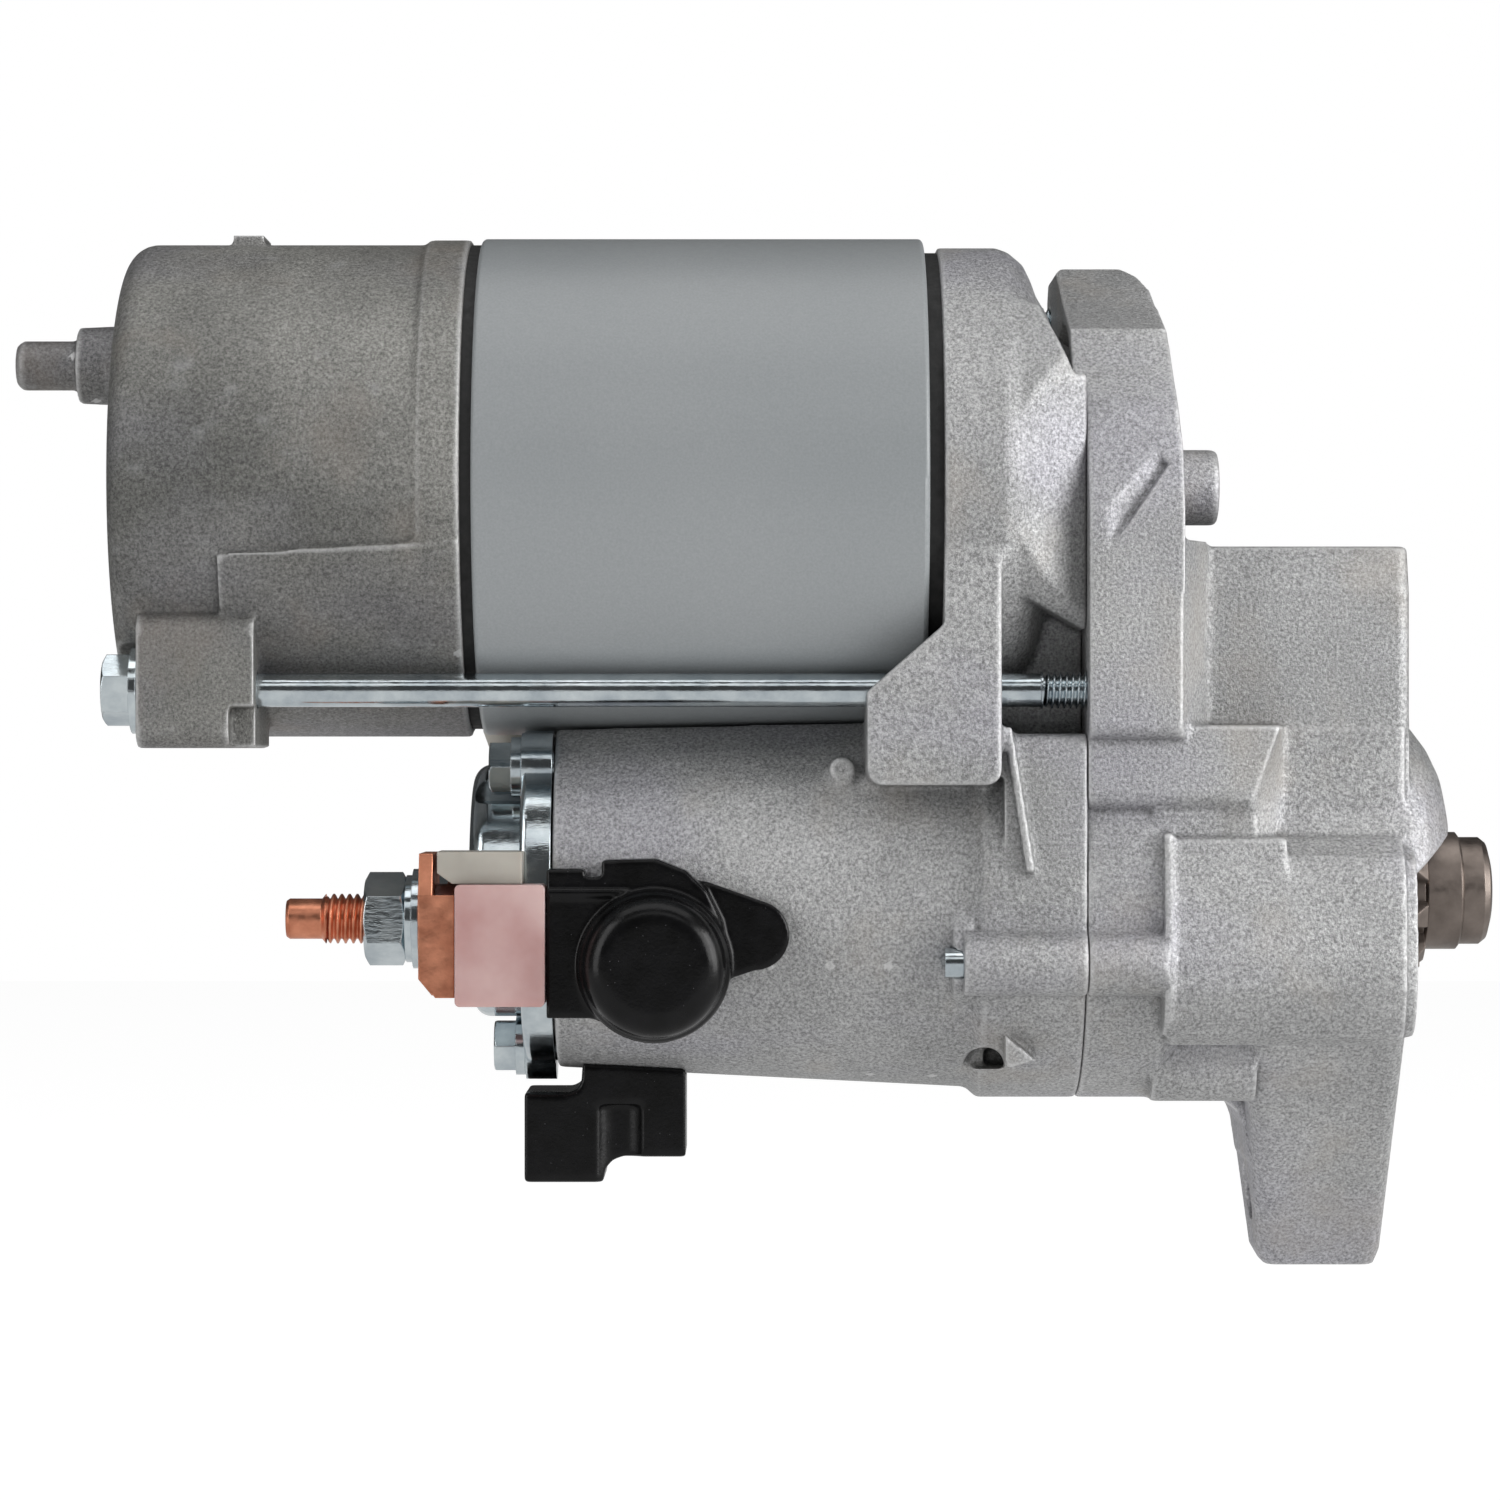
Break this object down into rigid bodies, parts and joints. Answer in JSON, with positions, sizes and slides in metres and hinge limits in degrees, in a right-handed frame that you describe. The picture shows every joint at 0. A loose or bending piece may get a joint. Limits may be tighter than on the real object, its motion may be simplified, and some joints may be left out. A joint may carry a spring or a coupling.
{
  "type": "starter motor",
  "caption": "Offset gear-reduction starter motor: motor above, solenoid switch, overrunning clutch and sliding pinion on the axis below, cast housings held by through bolts.",
  "frame": {"origin": "centre of the pinion axis in the plane of the mounting face", "axes": "+X along the pinion axis the way the pinion is thrown, +Z from the pinion axis to the motor axis, -Y towards the battery terminal side"},
  "size_m": [0.2448, 0.0856, 0.1723],
  "materials": {
    "cast_aluminium": "sand-blasted casting with a fine bright grain",
    "yoke_paint": "satin cool grey paint",
    "seal_rubber": "matt black",
    "ferrite": "dark ceramic magnet",
    "steel": "ground steel",
    "pinion_steel": "brown-grey heat-treated steel",
    "lamination": "stacked electrical steel",
    "copper": "bare copper",
    "moulding": "brown moulding compound",
    "carbon": "pressed carbon and copper",
    "zinc": "bright bluish zinc plate",
    "pink_nylon": "translucent pinkish nylon",
    "white_nylon": "translucent off-white nylon",
    "black_plastic": "black glass-filled nylon with a soft gloss"
  },
  "bodies": {
    "housing": {"end_frame": "cast_aluminium", "yoke_seal_rear": "seal_rubber", "yoke": "yoke_paint", "field_magnets": "ferrite", "yoke_seal_front": "seal_rubber", "center_housing": "cast_aluminium", "drive_housing": "cast_aluminium", "through_bolts": "zinc", "case_pins": "zinc", "brush_holder": "steel", "brushes": "carbon", "brush_springs": "steel", "armature_bearing_rear": "steel", "armature_bearing_front": "steel", "idler_pin": "steel", "clutch_bearing_front": "steel", "clutch_bearing_rear": "steel", "solenoid_cover": "zinc", "cover_screws": "zinc", "coil_bobbin": "white_nylon", "solenoid_coil": "copper", "magnet_core": "steel", "magnet_plate": "steel", "plunger_return_spring": "steel", "fixed_contacts": "copper", "battery_stud": "copper", "battery_nut": "zinc", "battery_washers": "zinc", "battery_strap": "copper", "terminal_insulator": "pink_nylon", "terminal_spacer": "white_nylon", "motor_stud": "copper", "motor_nut": "zinc", "motor_insulator": "pink_nylon", "motor_lead": "copper", "lead_grommet": "white_nylon", "connector_cap": "black_plastic", "connector_socket": "black_plastic", "connector_blade": "steel"},
    "armature": {"armature_shaft": "steel", "armature_core": "lamination", "armature_windings": "copper", "commutator_bars": "copper", "commutator_hub": "moulding", "armature_gear": "steel"},
    "idler": {"idler_gear": "steel", "idler_rollers": "steel"},
    "clutch": {"clutch_gear": "steel", "clutch_rollers": "steel", "clutch_cover": "steel"},
    "race": {"clutch_race": "steel", "pinion_return_spring": "steel"},
    "pinion": {"pinion_shaft": "pinion_steel", "pinion": "pinion_steel", "pinion_stopper": "pinion_steel", "thrust_ball": "steel"},
    "plunger": {"plunger": "steel", "contact_plate": "copper"}
  },
  "joints": [
    {"name": "armature_spin", "type": "hinge", "parent": "housing", "child": "armature", "pos_m": [-0.12, 0, 0.0671], "axis": [1, 0, 0], "continuous": true},
    {"name": "idler_spin", "type": "hinge", "parent": "housing", "child": "idler", "pos_m": [-0.054, 0.00602, 0.04245], "axis": [1, 0, 0], "continuous": true},
    {"name": "clutch_spin", "type": "hinge", "parent": "housing", "child": "clutch", "pos_m": [-0.05, 0, 0], "axis": [1, 0, 0], "continuous": true},
    {"name": "overrun", "type": "hinge", "parent": "clutch", "child": "race", "pos_m": [-0.05, 0, 0], "axis": [1, 0, 0], "continuous": true},
    {"name": "pinion_throw", "type": "slide", "parent": "race", "child": "pinion", "axis": [1, 0, 0], "range_m": [0, 0.018], "stiffness_N_per_m": 1200, "springref_m": -0.012, "deforming": ["pinion_return_spring"]},
    {"name": "plunger_slide", "type": "slide", "parent": "housing", "child": "plunger", "axis": [1, 0, 0], "range_m": [0, 0.018], "stiffness_N_per_m": 800, "springref_m": -0.01, "deforming": ["plunger_return_spring"]}
  ],
  "couplings": [
    {"joint": "idler_spin", "follows": "armature_spin", "ratio": -0.70588},
    {"joint": "clutch_spin", "follows": "armature_spin", "ratio": 0.375},
    {"joint": "plunger_slide", "follows": "pinion_throw", "ratio": 1}
  ]
}
